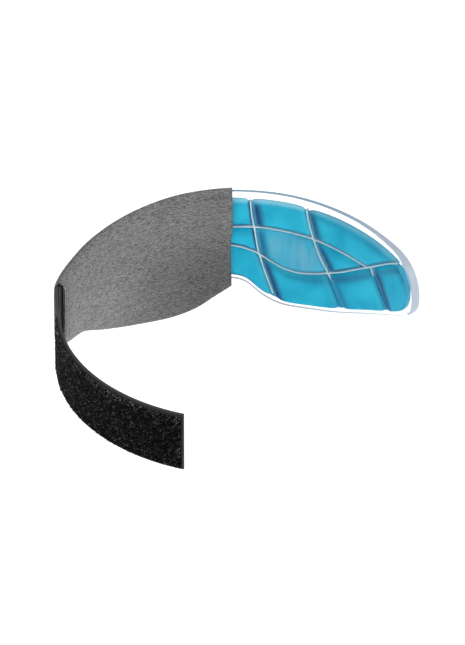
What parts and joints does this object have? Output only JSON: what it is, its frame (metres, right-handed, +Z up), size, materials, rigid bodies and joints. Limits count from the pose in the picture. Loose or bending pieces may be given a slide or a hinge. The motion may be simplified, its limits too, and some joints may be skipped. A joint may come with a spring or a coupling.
{
  "type": "gel eye mask",
  "caption": "Curved hot and cold gel eye mask in clear film with raised weld lines, half covered by a knitted sleeve, with a hook-and-loop head strap.",
  "frame": {"origin": "bridge of the nose, on the face side of the pack, at the middle of its length", "axes": "+X towards the bare end of the pack, along the mask's length; +Y forward, away from the wearer's face; +Z up, across the mask's height"},
  "size_m": [0.2099, 0.1955, 0.0826],
  "materials": {
    "gel": "gloss",
    "clear_weld": "gloss",
    "clear_film": "gloss",
    "sleeve_knit": "matte",
    "sleeve_seam": "matte",
    "seam_thread": "matte",
    "strap_web": "matte",
    "strap_loop": "matte",
    "strap_thread": "matte"
  },
  "bodies": {
    "mask": {"gel_top_centre": "gel", "gel_mid_centre": "gel", "gel_low_centre": "gel", "gel_top_inner_left": "gel", "gel_top_outer_left": "gel", "gel_lens_left": "gel", "gel_wedge_left": "gel", "gel_low_inner_left": "gel", "gel_low_outer_left": "gel", "gel_tip_left": "gel", "clear_frame": "clear_weld", "face_film": "clear_film", "front_film": "clear_film", "fold_weld": "clear_weld", "sleeve_face_panel": "sleeve_knit", "sleeve_front_panel": "sleeve_knit", "sleeve_top_seam": "sleeve_seam", "sleeve_low_seam": "sleeve_seam", "strap_anchor": "strap_web", "strap_seam_stitches": "seam_thread"},
    "right_wing": {"gel_top_inner_right": "gel", "gel_top_outer_right": "gel", "gel_lens_right": "gel", "gel_wedge_right": "gel", "gel_low_inner_right": "gel", "gel_low_outer_right": "gel", "gel_tip_right": "gel", "clear_frame_wing": "clear_weld", "face_film_wing": "clear_film", "front_film_wing": "clear_film"},
    "strap_root": {"strap_web_root": "strap_web", "loop_tape_root": "strap_loop", "tape_stitches_root": "strap_thread"},
    "strap_end": {"strap_web_end": "strap_web", "loop_tape_end": "strap_loop", "tape_stitches_end": "strap_thread"}
  },
  "joints": [
    {"name": "bridge_fold", "type": "hinge", "parent": "mask", "child": "right_wing", "pos_m": [0.01699, 0.00152, -0.0105], "axis": [0.1974, -0.029, -0.9799], "range_deg": [-20, 50], "stiffness_Nm_per_rad": 0.12},
    {"name": "strap_swing", "type": "hinge", "parent": "mask", "child": "strap_root", "pos_m": [-0.10264, -0.05784, -0.012], "axis": [0, 0, 1], "range_deg": [-60, 30], "stiffness_Nm_per_rad": 0.02},
    {"name": "strap_curl", "type": "hinge", "parent": "strap_root", "child": "strap_end", "pos_m": [-0.09809, -0.12034, -0.012], "axis": [0, 0, 1], "range_deg": [-30, 45], "stiffness_Nm_per_rad": 0.02}
  ]
}
